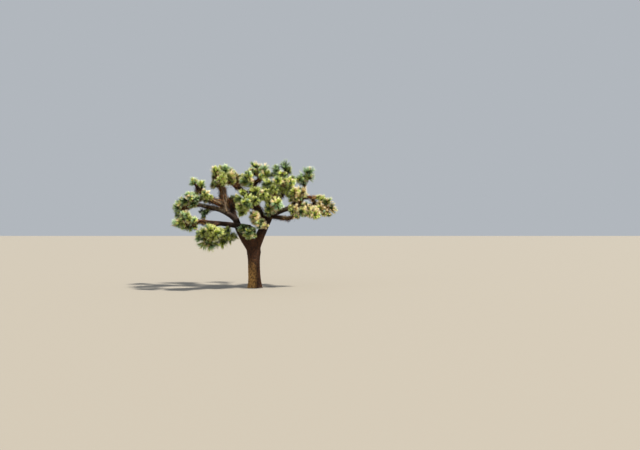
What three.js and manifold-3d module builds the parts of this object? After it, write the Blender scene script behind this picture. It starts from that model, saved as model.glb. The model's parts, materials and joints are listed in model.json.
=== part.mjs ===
// A Joshua tree, life size, as it stands rooted in level ground: a stout trunk, two main
// boughs, the limbs that they fork into, and the spiky heads of leaves that end each arm.
// Millimetres. +X is to the right in the front view, +Y away from it, +Z up, and the
// origin is the middle of the flat cut where the trunk meets the ground.
import * as THREE from "three";
import { mergeVertices } from "three/addons/utils/BufferGeometryUtils.js";
import Module from "manifold-3d";

const wasm = await Module();
wasm.setup();

// Driving sizes
const SEAT_GAP = 0.3; // a limb and what carries it lie this far apart
const TRUNK_RADIUS = 250; // at the waist
const FLARE = 90; // how much wider the root flare is at the ground
const FLARE_HEIGHT = 190; // the flare fades over this height
const FORK_SPREAD = 0.34; // how much wider than deep the trunk grows below its fork
const FORK_CLOSE = 0.55; // how narrow its rings are at the very top, between the boughs
const BOUGH_SIDES = 7;
const BOUGH_STEP = 310; // from one ring of a bough to the next
const HEAD_REACH = 285; // from the middle of a head to its leaf tips
const CORE_RADIUS = 140; // of the dense leaf bases in the middle of a head
const LEAST_REACH = 70; // of a head's surface where a limb passes close by
const LEAF_SPREAD = 0.12; // the shortest leaves are shorter than the reach by this share
const BACK_COSINE = -0.6; // leaves that point further back than this from the head's axis
const BACK_SHARE = 0.8; // reach only this share as far
const SHORTEN = 0.85; // a leaf that comes near a limb is shortened by steps of this share
const CELL_GAP = 6; // leaves of two heads stay this far from the plane between them
const LIMB_GAP = 30; // a leaf's middle line stays this far from a limb's surface
const SAMPLE_STEP = 60; // from one sample of a limb to the next, for that test
const STEM_RADII = [62, 48]; // of the stem inside a mass, root and tip
const ARM_RADII = [50, 48]; // of the side arms on it
const SUNK = 0.95; // no stem is rooted nearer to its bough's tip than this share of the way
const FOLLOW_END = 0.8; // how much a stem at a bough's tip keeps to the bough's direction
const FOLLOW_SIDE = 0.25; // the same for a stem that leaves its bough lower down
const ARM_FIRST = 0.35; // side arms leave their stem from this share of the way
const ARM_SPAN = 0.4; // over this further share
const ARM_TURN = 140; // degrees round the stem from one side arm to the next
const ARM_STRAY = 30; // degrees over which that turn varies
const SIDE_SPREAD = 0.2; // share over which the length of side arms varies
const ARM_BEND = [0.7, 0.1]; // a side arm's bend, outward and onward in shares of its length
const ARM_END = [1, 0.6]; // and its end
const HEAD_LIFT = 0.35; // how strongly a head turns up from its arm's direction

const TRUNK = { through: [-35, 0, 940], tip: [-55, 0, 1890], sides: 14, steps: 10 };
const SPREAD_OVER = [0.6, 0.9]; // shares of the trunk between which it widens
const CLOSE_OVER = [0.8, 1]; // and between which it narrows again
const LOBES = { count: 5, depth: 0.09, turn: 0.6 }; // of the root flare
const WAVES = { count: 3, depth: 0.02, rise: 300 }; // of the trunk's sides, turning as they rise

// For each bough: the limb that carries it, the share of the way along at which it starts
// there, the point that it passes half way, its tip, and its radii at start and tip.
const BOUGHS = {
  left_bough: ["trunk", 0.8, [-530, -40, 2200], [-790, -150, 2890], [215, 140]],
  right_bough: ["trunk", 0.8, [280, 20, 2300], [650, 50, 3040], [240, 150]],
  low_riser: ["trunk", 0.9, [-110, -300, 2210], [-130, -500, 2510], [155, 135]],
  low_limb: ["low_riser", 0.96, [-1090, -800, 2650], [-1990, -1200, 2740], [132, 78]],
  droop_limb: ["low_limb", 0.6, [-1540, -1130, 2570], [-1590, -1310, 2330], [78, 68]],
  arch_limb: ["left_bough", 0.96, [-1390, 50, 3230], [-2050, 200, 3360], [122, 94]],
  rear_left_limb: ["left_bough", 0.92, [-1020, 400, 3330], [-1230, 1000, 3720], [108, 78]],
  left_riser: ["arch_limb", 0.32, [-1330, 110, 3600], [-1380, 150, 4230], [150, 130]],
  left_reach: ["left_riser", 0.36, [-1620, -100, 3590], [-1920, -300, 3710], [142, 118]],
  outer_left_limb: ["arch_limb", 0.96, [-2490, 500, 3500], [-2890, 800, 3470], [92, 74]],
  right_riser: ["right_bough", 0.95, [630, 0, 3460], [720, -100, 3790], [128, 104]],
  right_low_limb: ["right_bough", 0.96, [1070, -300, 2930], [1450, -650, 2890], [96, 74]],
  right_mid_limb: ["right_bough", 0.96, [1200, 300, 3265], [1830, 500, 3420], [118, 92]],
  top_limb: ["right_riser", 0.35, [1100, -60, 3880], [1300, 0, 4480], [118, 92]],
  upper_right_limb: ["right_mid_limb", 0.82, [1880, 390, 3640], [2000, 220, 3920], [86, 76]],
  far_right_limb: ["right_mid_limb", 0.97, [2220, 300, 3400], [2600, 100, 3390], [84, 70]],
  centre_limb: ["right_bough", 0.72, [150, 200, 3300], [-310, 500, 3870], [122, 96]],
  centre_left_limb: ["centre_limb", 0.96, [-620, 790, 4150], [-1020, 1000, 4350], [94, 78]],
  centre_right_limb: ["centre_limb", 0.95, [-140, 500, 4270], [170, 400, 4590], [92, 76]],
  front_limb: ["centre_limb", 0.3, [10, -450, 3330], [-220, -1000, 3430], [94, 74]],
  rear_limb: ["right_bough", 0.85, [560, 900, 3370], [690, 1500, 3830], [112, 84]],
};

// A mass starts on its bough. Its stem ends in one head of leaves at the tip given, and the
// other heads stand on side arms of the length given, the first turned round the stem by roll.
const MASSES = {
  left_top: { on: "left_reach", at: 1, tip: [-2520, -300, 4450], heads: 2, side: 300, roll: 0 },
  left_row: { on: "left_reach", at: 0.96, tip: [-2840, -800, 3600], heads: 4, side: 240, roll: 40 },
  left_knob: { on: "left_reach", at: 0.9, tip: [-1910, -800, 3830], heads: 1, side: 0, roll: 0 },
  outer_upper: { on: "outer_left_limb", at: 1, tip: [-3480, 880, 3370], heads: 2, side: 260, roll: 30 },
  outer_lower: { on: "outer_left_limb", at: 0.85, tip: [-3500, 1380, 3070], heads: 2, side: 290, roll: 210 },
  hanging: { on: "arch_limb", at: 0.93, tip: [-2140, 60, 3010], heads: 1, side: 0, roll: 0 },
  low_end_upper: { on: "low_limb", at: 1, tip: [-2670, -1400, 3010], heads: 2, side: 260, roll: -90 },
  low_end_lower: { on: "low_limb", at: 0.96, tip: [-3060, -1150, 2670], heads: 3, side: 290, roll: 130 },
  droop_front: { on: "droop_limb", at: 0.9, tip: [-1580, -1780, 2400], heads: 3, side: 290, roll: 200 },
  droop_low: { on: "droop_limb", at: 1, tip: [-1950, -1250, 1850], heads: 4, side: 290, roll: 60 },
  droop_inner: { on: "low_limb", at: 0.42, tip: [-1170, -1150, 1920], heads: 3, side: 290, roll: 150 },
  fork: { on: "low_riser", at: 0.7, tip: [-150, -1050, 2290], heads: 2, side: 260, roll: 165 },
  upper_left_front: { on: "left_riser", at: 0.68, tip: [-1620, -250, 4890], heads: 4, side: 260, roll: 180 },
  upper_left_rear: { on: "left_riser", at: 1, tip: [-1360, 400, 4970], heads: 4, side: 320, roll: 10 },
  upper_middle: { on: "centre_left_limb", at: 1, tip: [-1190, 1300, 4970], heads: 3, side: 300, roll: 0 },
  upper_rear: { on: "centre_left_limb", at: 0.7, tip: [-800, 1700, 4740], heads: 2, side: 300, roll: 0 },
  crown_left: { on: "centre_right_limb", at: 1, tip: [-120, 800, 5160], heads: 2, side: 290, roll: 180 },
  crown_right: { on: "centre_right_limb", at: 0.95, tip: [400, 200, 4990], heads: 2, side: 280, roll: -60 },
  crown_front: { on: "centre_right_limb", at: 0.5, tip: [-290, -200, 4650], heads: 2, side: 300, roll: 180 },
  middle_low: { on: "front_limb", at: 1, tip: [-420, -1450, 3330], heads: 4, side: 300, roll: 0 },
  middle_high: { on: "front_limb", at: 0.9, tip: [-140, -1400, 3660], heads: 3, side: 300, roll: 0 },
  crotch: { on: "right_bough", at: 0.6, tip: [60, -1100, 2960], heads: 3, side: 300, roll: 120 },
  centre_low: { on: "right_riser", at: 0.6, tip: [80, -900, 3980], heads: 4, side: 300, roll: 0 },
  centre_high: { on: "right_riser", at: 1, tip: [640, -600, 4330], heads: 4, side: 310, roll: 0 },
  top: { on: "top_limb", at: 1, tip: [1230, 100, 5050], heads: 2, side: 330, roll: 190 },
  top_front: { on: "top_limb", at: 0.8, tip: [970, -700, 4410], heads: 2, side: 300, roll: 0 },
  top_right: { on: "top_limb", at: 0.9, tip: [1540, -600, 4340], heads: 2, side: 300, roll: 0 },
  right_knob: { on: "right_riser", at: 0.35, tip: [990, -900, 3470], heads: 2, side: 280, roll: -60 },
  right_top: { on: "upper_right_limb", at: 1, tip: [2250, 100, 4900], heads: 2, side: 240, roll: 180 },
  right_middle: { on: "upper_right_limb", at: 0.5, tip: [1640, -600, 3970], heads: 3, side: 270, roll: 0 },
  right_low: { on: "right_low_limb", at: 1, tip: [2000, -1000, 3180], heads: 2, side: 220, roll: 180 },
  right_rear: { on: "right_mid_limb", at: 0.7, tip: [1840, 1050, 3700], heads: 3, side: 300, roll: 60 },
  far_right_tip: { on: "far_right_limb", at: 1, tip: [3260, -100, 3260], heads: 3, side: 250, roll: 200 },
  far_right_top: { on: "upper_right_limb", at: 0.75, tip: [2820, 400, 3735], heads: 2, side: 350, roll: 20 },
  far_right_low: { on: "far_right_limb", at: 0.6, tip: [2520, -550, 3000], heads: 3, side: 280, roll: 180 },
  far_right_rear: { on: "far_right_limb", at: 0.3, tip: [2240, 1050, 3280], heads: 2, side: 280, roll: -20 },
  rear_left: { on: "rear_left_limb", at: 0.97, tip: [-890, 1750, 3600], heads: 3, side: 290, roll: -60 },
  rear_middle: { on: "rear_limb", at: 1, tip: [420, 2100, 4080], heads: 4, side: 310, roll: 0 },
};

const UP = new THREE.Vector3(0, 0, 1);
const AWAY = new THREE.Vector3(0, 1, 0);

const point = (xyz) => new THREE.Vector3(...xyz);

// A small seeded random source, so that the same tree grows every time.
function randomFrom(words) {
  let state = [...words].reduce((sum, letter) => (sum * 31 + letter.charCodeAt(0)) >>> 0, 7);
  return () => {
    state = (Math.imul(state, 1664525) + 1013904223) >>> 0;
    return state / 2 ** 32;
  };
}

// The curve from start to tip that passes a third point half way.
function curveThrough(start, through, tip) {
  const control = through.clone().multiplyScalar(2).addScaledVector(start, -0.5).addScaledVector(tip, -0.5);
  return new THREE.QuadraticBezierCurve3(start, control, tip);
}

function trunkLimb() {
  return { curve: curveThrough(new THREE.Vector3(), point(TRUNK.through), point(TRUNK.tip)), ...TRUNK };
}

function boughLimb(on, start, through, tip, radii) {
  const curve = curveThrough(start, point(through), point(tip));
  const steps = Math.max(3, Math.round(curve.getLength() / BOUGH_STEP));
  return { on, curve, radii, sides: BOUGH_SIDES, steps };
}

// Two directions square to a heading: the first lies in the front view's plane.
function acrossOf(heading) {
  const first = new THREE.Vector3().crossVectors(Math.abs(heading.y) > 0.95 ? UP : AWAY, heading).normalize();
  return [first, new THREE.Vector3().crossVectors(heading, first)];
}

function headOn(arm) {
  const axis = arm.curve.getTangent(1).addScaledVector(UP, HEAD_LIFT).normalize();
  return { arm, centre: arm.curve.getPoint(1), axis };
}

// The stem of a mass leaves along its bough's own direction at a bough's tip, and mostly
// straight for its own tip elsewhere.
function stemLimb(mass, carrier) {
  const start = carrier.curve.getPoint(Math.min(mass.at, SUNK));
  const tip = point(mass.tip);
  const follow = mass.at === 1 ? FOLLOW_END : FOLLOW_SIDE;
  const leave = tip.clone().sub(start).normalize().multiplyScalar(1 - follow);
  leave.addScaledVector(carrier.curve.getTangent(mass.at), follow);
  const bend = start.clone().addScaledVector(leave, start.distanceTo(tip) / 2);
  return { curve: new THREE.QuadraticBezierCurve3(start, bend, tip), radii: STEM_RADII, sides: 5, steps: 3 };
}

// Side arm i of a mass stands out from the stem and bends to its own direction.
function sideLimb(mass, stem, i, random) {
  const share = ARM_FIRST + (ARM_SPAN * (i - 0.5)) / (mass.heads - 1);
  const root = stem.curve.getPoint(share);
  const along = stem.curve.getTangent(share);
  const [first, second] = acrossOf(along);
  const turn = THREE.MathUtils.degToRad(mass.roll + ARM_TURN * (i - 1) + ARM_STRAY * (random() - 0.5));
  const out = first.multiplyScalar(Math.cos(turn)).addScaledVector(second, Math.sin(turn));
  const length = mass.side * (1 + SIDE_SPREAD * (random() - 0.5));
  const stand = (outward, onward) =>
    root.clone().addScaledVector(out, outward * length).addScaledVector(along, onward * length);
  const curve = new THREE.QuadraticBezierCurve3(root, stand(...ARM_BEND), stand(...ARM_END));
  return { curve, radii: ARM_RADII, sides: 4, steps: 2 };
}

// A mass is its stem, its side arms and one head on the end of each.
function growMass(mass, carrier, name) {
  const random = randomFrom(name);
  const stem = stemLimb(mass, carrier);
  const arms = [stem];
  for (let i = 1; i < mass.heads; i++) arms.push(sideLimb(mass, stem, i, random));
  return { arms, heads: arms.map(headOn), random };
}

// A closed cylinder of unit size, bent along a limb's curve and brought to its radii.
function limbGeometry(limb, grow = 0) {
  const geometry = new THREE.CylinderGeometry(1, 1, 1, limb.sides, limb.steps);
  const frames = limb.curve.computeFrenetFrames(limb.steps);
  const places = geometry.attributes.position;
  for (let i = 0; i < places.count; i++) {
    const share = places.getY(i) + 0.5;
    const ring = Math.round(share * limb.steps);
    const radius = limb.radii[0] + (limb.radii[1] - limb.radii[0]) * share + grow;
    const at = limb.curve.getPointAt(share);
    if (ring === limb.steps) at.addScaledVector(frames.tangents[ring], grow);
    at.addScaledVector(frames.normals[ring], places.getX(i) * radius);
    at.addScaledVector(frames.binormals[ring], -places.getZ(i) * radius);
    places.setXYZ(i, at.x, at.y, at.z);
  }
  return geometry;
}

// The trunk's rings are level. It flares in soft lobes at the ground, widens to both sides
// below the fork, and narrows again where the boughs leave it.
function trunkGeometry(limb, grow = 0) {
  const geometry = new THREE.CylinderGeometry(1, 1, 1, limb.sides, limb.steps);
  geometry.rotateX(Math.PI / 2);
  const places = geometry.attributes.position;
  for (let i = 0; i < places.count; i++) {
    const share = places.getZ(i) + 0.5;
    const at = limb.curve.getPoint(share);
    const angle = Math.atan2(places.getY(i), places.getX(i));
    const flare = Math.exp(-at.z / FLARE_HEIGHT);
    const wide = 1 + FORK_SPREAD * THREE.MathUtils.smoothstep(share, ...SPREAD_OVER);
    const close = THREE.MathUtils.lerp(1, FORK_CLOSE, THREE.MathUtils.smoothstep(share, ...CLOSE_OVER));
    const lobes = LOBES.depth * flare * Math.cos(LOBES.count * angle + LOBES.turn);
    const waves = WAVES.depth * Math.cos(WAVES.count * angle + at.z / WAVES.rise);
    const radius = (TRUNK_RADIUS + FLARE * flare) * (1 + lobes + waves) * close + grow;
    const onRim = Math.hypot(places.getX(i), places.getY(i)) > 0.5;
    if (onRim) {
      at.x += Math.cos(angle) * radius * wide;
      at.y += Math.sin(angle) * radius;
    }
    places.setXYZ(i, at.x, at.y, at.z + (share === 1 ? grow : 0));
  }
  return geometry;
}

// How far from a head's centre a direction may reach before it leaves the head's own space
// (the half spaces nearer to it than to every other head) or comes too close to a limb.
function reachAlong(head, direction, wanted, heads, limbs) {
  let reach = wanted;
  for (const other of heads) {
    const away = other.centre.clone().sub(head.centre);
    const apart = away.length();
    const toward = direction.dot(away) / (apart || 1);
    if (other !== head && toward > 0) reach = Math.min(reach, (apart / 2 - CELL_GAP) / toward);
  }
  const others = limbs.filter((limb) => limb.arm !== head.arm);
  const crosses = () => others.some((limb) => tooClose(head.centre, direction, reach, limb));
  while (reach > LEAST_REACH && crosses()) reach *= SHORTEN;
  return reach;
}

// Whether the line from a centre along a direction passes too close to a limb's samples.
function tooClose(centre, direction, reach, limb) {
  return limb.samples.some(({ at, radius }) => {
    const from = at.clone().sub(centre);
    const along = THREE.MathUtils.clamp(from.dot(direction), 0, reach);
    return from.addScaledVector(direction, -along).length() < radius + LIMB_GAP;
  });
}

// A limb as spheres along its curve, for the test of closeness.
function sampled(arm) {
  const count = Math.ceil(arm.curve.getLength() / SAMPLE_STEP);
  const samples = [];
  for (let i = 0; i <= count; i++) {
    const radius = THREE.MathUtils.lerp(...arm.radii, i / count);
    samples.push({ at: arm.curve.getPoint(i / count), radius });
  }
  return { arm, samples };
}

// A head: a small sphere of leaf bases, each face of it drawn out into a pointed leaf.
function headGeometry(head, heads, limbs, random) {
  const ball = new THREE.IcosahedronGeometry(1);
  ball.rotateY(2 * Math.PI * random());
  ball.applyQuaternion(new THREE.Quaternion().setFromUnitVectors(AWAY, head.axis));
  const directions = ball.attributes.position;
  const corner = (i) => {
    const direction = new THREE.Vector3().fromBufferAttribute(directions, i).normalize();
    return direction.multiplyScalar(reachAlong(head, direction, CORE_RADIUS, heads, limbs));
  };
  const faces = [];
  for (let i = 0; i < directions.count; i += 3) {
    const corners = [i, i + 1, i + 2].map(corner);
    const direction = corners[0].clone().add(corners[1]).add(corners[2]).normalize();
    const share = direction.dot(head.axis) < BACK_COSINE ? BACK_SHARE : 1;
    const wanted = HEAD_REACH * share * (1 - LEAF_SPREAD + LEAF_SPREAD * random());
    const leafTip = direction.clone().multiplyScalar(reachAlong(head, direction, wanted, heads, limbs));
    for (let k = 0; k < 3; k++) faces.push(corners[k], corners[(k + 1) % 3], leafTip);
  }
  const geometry = new THREE.BufferGeometry().setFromPoints(faces);
  return geometry.translate(...head.centre.toArray());
}

function solidOf(geometry) {
  const bare = geometry.clone();
  bare.deleteAttribute("normal");
  bare.deleteAttribute("uv");
  const merged = mergeVertices(bare, 1e-3);
  return new wasm.Manifold(
    new wasm.Mesh({
      numProp: 3,
      vertProperties: merged.attributes.position.array,
      triVerts: new Uint32Array(merged.index.array),
    }),
  );
}

function meshOf(solid, name, material) {
  const { vertProperties, triVerts } = solid.getMesh();
  const geometry = new THREE.BufferGeometry();
  geometry.setAttribute("position", new THREE.BufferAttribute(vertProperties, 3));
  geometry.setIndex(new THREE.BufferAttribute(triVerts, 1));
  geometry.computeVertexNormals();
  const mesh = new THREE.Mesh(geometry, material);
  mesh.name = name;
  return mesh;
}

const grownOf = (limb) => solidOf(limbGeometry(limb, SEAT_GAP));

const largestPiece = (solid) => solid.decompose().reduce((a, b) => (a.volume() > b.volume() ? a : b));

// Limbs first, as curves
const limbs = { trunk: trunkLimb() };
for (const [name, [on, at, through, tip, radii]] of Object.entries(BOUGHS)) {
  limbs[name] = boughLimb(on, limbs[on].curve.getPoint(at), through, tip, radii);
}
const masses = {};
for (const [name, mass] of Object.entries(MASSES)) masses[name] = growMass(mass, limbs[mass.on], name);

// Then as solids: each is cut clear of what carries it and of what was seated there before it
const bark = new THREE.MeshStandardMaterial({ color: 0x5a4532, roughness: 0.95, metalness: 0 });
const foliage = new THREE.MeshStandardMaterial({ color: 0x8b9a52, roughness: 0.7, metalness: 0 });
const tree = new THREE.Group();
const seated = { trunk: [solidOf(trunkGeometry(limbs.trunk, SEAT_GAP))] };
tree.add(meshOf(solidOf(trunkGeometry(limbs.trunk)), "trunk", bark));

function seat(solid, arms, carrier) {
  const clear = seated[carrier].reduce((rest, other) => rest.subtract(other), solid);
  seated[carrier].push(...arms.map(grownOf));
  return largestPiece(clear);
}

for (const name of Object.keys(BOUGHS)) {
  const limb = limbs[name];
  seated[name] = [grownOf(limb)];
  tree.add(meshOf(seat(solidOf(limbGeometry(limb)), [limb], limb.on), name, bark));
}

// Last the masses: the leaves of each keep clear of every other mass's stem and arms
const everyArm = Object.values(masses).flatMap((mass) => mass.arms);
everyArm.push(...Object.keys(BOUGHS).map((name) => limbs[name]));
const everyLimb = everyArm.map(sampled);
const everyHead = Object.values(masses).flatMap((mass) => mass.heads);

for (const [name, mass] of Object.entries(masses)) {
  const arms = mass.arms.map((arm) => solidOf(limbGeometry(arm)));
  const heads = mass.heads.map((head) => solidOf(headGeometry(head, everyHead, everyLimb, mass.random)));
  const foreign = everyArm.filter((arm) => !mass.arms.includes(arm));
  const kept = wasm.Manifold.union(heads).subtract(wasm.Manifold.union(foreign.map(grownOf)));
  const whole = wasm.Manifold.union([...arms, kept]);
  tree.add(meshOf(seat(whole, mass.arms, MASSES[name].on), name + "_leaves", foliage));
}

export default tree;
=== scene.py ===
# %% [markdown]
# A Joshua tree is a giant yucca. A stout trunk forks again and again into thick limbs, and
# every limb ends in short arms, each with one round head of stiff, dagger-like leaves. Leaves
# that die fold back and stay on their arm as a straw-coloured skirt, so only old limbs show
# their corky bark. The solid model gives every limb and every head its place. This script
# dresses it: one skin of bark, and some fifty thousand leaves that grow by the solid's rule.

import json
import math

import bpy
import numpy as np
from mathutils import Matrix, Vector, kdtree, noise

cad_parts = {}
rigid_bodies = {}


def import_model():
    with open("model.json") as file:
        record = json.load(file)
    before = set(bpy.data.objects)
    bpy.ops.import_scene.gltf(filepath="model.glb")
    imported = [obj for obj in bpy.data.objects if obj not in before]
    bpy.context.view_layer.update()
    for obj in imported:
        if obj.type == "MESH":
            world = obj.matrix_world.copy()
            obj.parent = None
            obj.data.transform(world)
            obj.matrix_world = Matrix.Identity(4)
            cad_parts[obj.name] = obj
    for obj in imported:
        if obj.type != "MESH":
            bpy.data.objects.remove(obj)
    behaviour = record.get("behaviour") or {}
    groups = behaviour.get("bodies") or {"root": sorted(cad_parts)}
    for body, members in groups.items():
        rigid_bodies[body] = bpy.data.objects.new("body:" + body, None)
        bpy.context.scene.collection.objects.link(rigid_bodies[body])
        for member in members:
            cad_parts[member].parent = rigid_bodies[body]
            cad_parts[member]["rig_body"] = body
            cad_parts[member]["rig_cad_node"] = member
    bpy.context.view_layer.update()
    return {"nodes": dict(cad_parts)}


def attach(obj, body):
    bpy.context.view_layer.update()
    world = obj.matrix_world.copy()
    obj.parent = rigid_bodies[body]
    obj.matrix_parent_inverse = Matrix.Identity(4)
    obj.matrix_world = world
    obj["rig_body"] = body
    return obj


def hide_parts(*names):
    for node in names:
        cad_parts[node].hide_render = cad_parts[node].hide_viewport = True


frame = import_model()

# %% [markdown]
# Everything else is worked out from a few sizes, in metres. The first group is the solid
# model's own, so that leaves grown here end where the solid's spikes end. The second group is
# what the solid is too coarse to show: the size of one leaf, of a plate of bark, of a furrow.

# %% Driving sizes
MM = 0.001
HEAD_REACH = 0.285  # from the middle of a head to its leaf tips
CELL_GAP = 0.006  # leaves of two heads stay this far from the plane between them
LIMB_GAP = 0.02  # a leaf's middle line stays this far from another limb's surface
STEM_RADII = (0.062, 0.048)  # at its root and at its tip
ARM_RADII = (0.050, 0.048)
SUNK = 0.95  # no stem is rooted nearer to its bough's tip than this share of the way
HEAD_LIFT = 0.35  # how strongly a head turns up from its arm's direction

LEAF_WIDTH = 0.024  # twice a real leaf's, because each stands for two or three
DRY_WIDTH = 0.019
DRY_LENGTH = (0.16, 0.25)
SKIRT_LEAVES = 100  # dry leaves folded back below each head
THATCH_A_METRE = 150  # dry leaves left on a metre of an arm
FLOOR_GAP = 0.05  # no leaf's tip comes nearer to the ground
GOLDEN_TURN = math.pi * (3 - math.sqrt(5))  # from one leaf to the next round its stem

BARK_VOXEL = 0.011
PLATE = (0.055, 0.125)  # of trunk bark, across and along
FURROW = 0.020  # depth between the trunk's plates

# %% [markdown]
# The plan of the tree repeats the solid model's, in millimetres. A bough starts on the limb
# that carries it, a share of the way along, passes one point half way and ends at its tip. A
# mass of foliage starts on its bough, and has one head at its stem's tip and one on the end
# of each side arm. The first side arm is turned round the stem by the last number.

# %% The plan of the tree
TRUNK = ((-35, 0, 940), (-55, 0, 1890))
TRUNK_RADIUS = 0.25
BOUGHS = {
    "left_bough": ("trunk", 0.8, (-530, -40, 2200), (-790, -150, 2890), (215, 140)),
    "right_bough": ("trunk", 0.8, (280, 20, 2300), (650, 50, 3040), (240, 150)),
    "low_riser": ("trunk", 0.9, (-110, -300, 2210), (-130, -500, 2510), (155, 135)),
    "low_limb": ("low_riser", 0.96, (-1090, -800, 2650), (-1990, -1200, 2740), (132, 78)),
    "droop_limb": ("low_limb", 0.6, (-1540, -1130, 2570), (-1590, -1310, 2330), (78, 68)),
    "arch_limb": ("left_bough", 0.96, (-1390, 50, 3230), (-2050, 200, 3360), (122, 94)),
    "rear_left_limb": ("left_bough", 0.92, (-1020, 400, 3330), (-1230, 1000, 3720), (108, 78)),
    "left_riser": ("arch_limb", 0.32, (-1330, 110, 3600), (-1380, 150, 4230), (150, 130)),
    "left_reach": ("left_riser", 0.36, (-1620, -100, 3590), (-1920, -300, 3710), (142, 118)),
    "outer_left_limb": ("arch_limb", 0.96, (-2490, 500, 3500), (-2890, 800, 3470), (92, 74)),
    "right_riser": ("right_bough", 0.95, (630, 0, 3460), (720, -100, 3790), (128, 104)),
    "right_low_limb": ("right_bough", 0.96, (1070, -300, 2930), (1450, -650, 2890), (96, 74)),
    "right_mid_limb": ("right_bough", 0.96, (1200, 300, 3265), (1830, 500, 3420), (118, 92)),
    "top_limb": ("right_riser", 0.35, (1100, -60, 3880), (1300, 0, 4480), (118, 92)),
    "upper_right_limb": ("right_mid_limb", 0.82, (1880, 390, 3640), (2000, 220, 3920), (86, 76)),
    "far_right_limb": ("right_mid_limb", 0.97, (2220, 300, 3400), (2600, 100, 3390), (84, 70)),
    "centre_limb": ("right_bough", 0.72, (150, 200, 3300), (-310, 500, 3870), (122, 96)),
    "centre_left_limb": ("centre_limb", 0.96, (-620, 790, 4150), (-1020, 1000, 4350), (94, 78)),
    "centre_right_limb": ("centre_limb", 0.95, (-140, 500, 4270), (170, 400, 4590), (92, 76)),
    "front_limb": ("centre_limb", 0.3, (10, -450, 3330), (-220, -1000, 3430), (94, 74)),
    "rear_limb": ("right_bough", 0.85, (560, 900, 3370), (690, 1500, 3830), (112, 84)),
}
MASSES = {
    "left_top": ("left_reach", 1, (-2520, -300, 4450), 2, 300, 0),
    "left_row": ("left_reach", 0.96, (-2840, -800, 3600), 4, 240, 40),
    "left_knob": ("left_reach", 0.9, (-1910, -800, 3830), 1, 0, 0),
    "outer_upper": ("outer_left_limb", 1, (-3480, 880, 3370), 2, 260, 30),
    "outer_lower": ("outer_left_limb", 0.85, (-3500, 1380, 3070), 2, 290, 210),
    "hanging": ("arch_limb", 0.93, (-2140, 60, 3010), 1, 0, 0),
    "low_end_upper": ("low_limb", 1, (-2670, -1400, 3010), 2, 260, -90),
    "low_end_lower": ("low_limb", 0.96, (-3060, -1150, 2670), 3, 290, 130),
    "droop_front": ("droop_limb", 0.9, (-1580, -1780, 2400), 3, 290, 200),
    "droop_low": ("droop_limb", 1, (-1950, -1250, 1850), 4, 290, 60),
    "droop_inner": ("low_limb", 0.42, (-1170, -1150, 1920), 3, 290, 150),
    "fork": ("low_riser", 0.7, (-150, -1050, 2290), 2, 260, 165),
    "upper_left_front": ("left_riser", 0.68, (-1620, -250, 4890), 4, 260, 180),
    "upper_left_rear": ("left_riser", 1, (-1360, 400, 4970), 4, 320, 10),
    "upper_middle": ("centre_left_limb", 1, (-1190, 1300, 4970), 3, 300, 0),
    "upper_rear": ("centre_left_limb", 0.7, (-800, 1700, 4740), 2, 300, 0),
    "crown_left": ("centre_right_limb", 1, (-120, 800, 5160), 2, 290, 180),
    "crown_right": ("centre_right_limb", 0.95, (400, 200, 4990), 2, 280, -60),
    "crown_front": ("centre_right_limb", 0.5, (-290, -200, 4650), 2, 300, 180),
    "middle_low": ("front_limb", 1, (-420, -1450, 3330), 4, 300, 0),
    "middle_high": ("front_limb", 0.9, (-140, -1400, 3660), 3, 300, 0),
    "crotch": ("right_bough", 0.6, (60, -1100, 2960), 3, 300, 120),
    "centre_low": ("right_riser", 0.6, (80, -900, 3980), 4, 300, 0),
    "centre_high": ("right_riser", 1, (640, -600, 4330), 4, 310, 0),
    "top": ("top_limb", 1, (1230, 100, 5050), 2, 330, 190),
    "top_front": ("top_limb", 0.8, (970, -700, 4410), 2, 300, 0),
    "top_right": ("top_limb", 0.9, (1540, -600, 4340), 2, 300, 0),
    "right_knob": ("right_riser", 0.35, (990, -900, 3470), 2, 280, -60),
    "right_top": ("upper_right_limb", 1, (2250, 100, 4900), 2, 240, 180),
    "right_middle": ("upper_right_limb", 0.5, (1640, -600, 3970), 3, 270, 0),
    "right_low": ("right_low_limb", 1, (2000, -1000, 3180), 2, 220, 180),
    "right_rear": ("right_mid_limb", 0.7, (1840, 1050, 3700), 3, 300, 60),
    "far_right_tip": ("far_right_limb", 1, (3260, -100, 3260), 3, 250, 200),
    "far_right_top": ("upper_right_limb", 0.75, (2820, 400, 3735), 2, 350, 20),
    "far_right_low": ("far_right_limb", 0.6, (2520, -550, 3000), 3, 280, 180),
    "far_right_rear": ("far_right_limb", 0.3, (2240, 1050, 3280), 2, 280, -20),
    "rear_left": ("rear_left_limb", 0.97, (-890, 1750, 3600), 3, 290, -60),
    "rear_middle": ("rear_limb", 1, (420, 2100, 4080), 4, 310, 0),
}
UP = np.array((0.0, 0.0, 1.0))
AWAY = np.array((0.0, 1.0, 0.0))
print("boughs:", len(BOUGHS), "masses:", len(MASSES))

# %% [markdown]
# Every limb is a curve with one bend, held as three points: start, control and tip. That is
# the whole skeleton of the tree, and a limb's skin, its dry leaves and the heads on it are
# all laid along such a curve. The curve is the solid's own, so nothing has to be fitted.

# %% Limbs as curves
def unit(vectors):
    return vectors / np.linalg.norm(vectors, axis=-1, keepdims=True)


def curve_through(start, through, tip):
    start, through, tip = (np.array(p, float) for p in (start, through, tip))
    return np.array((start, 2 * through - (start + tip) / 2, tip))


def point_on(curve, share):
    share = np.asarray(share, float)[..., None]
    return (1 - share) ** 2 * curve[0] + 2 * share * (1 - share) * curve[1] + share**2 * curve[2]


def heading_on(curve, share):
    share = np.asarray(share, float)[..., None]
    return unit((1 - share) * (curve[1] - curve[0]) + share * (curve[2] - curve[1]))


def length_of(curve):
    points = point_on(curve, np.linspace(0, 1, 33))
    return float(np.linalg.norm(np.diff(points, axis=0), axis=1).sum())


def in_metres(xyz):
    return np.array(xyz, float) * MM


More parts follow.
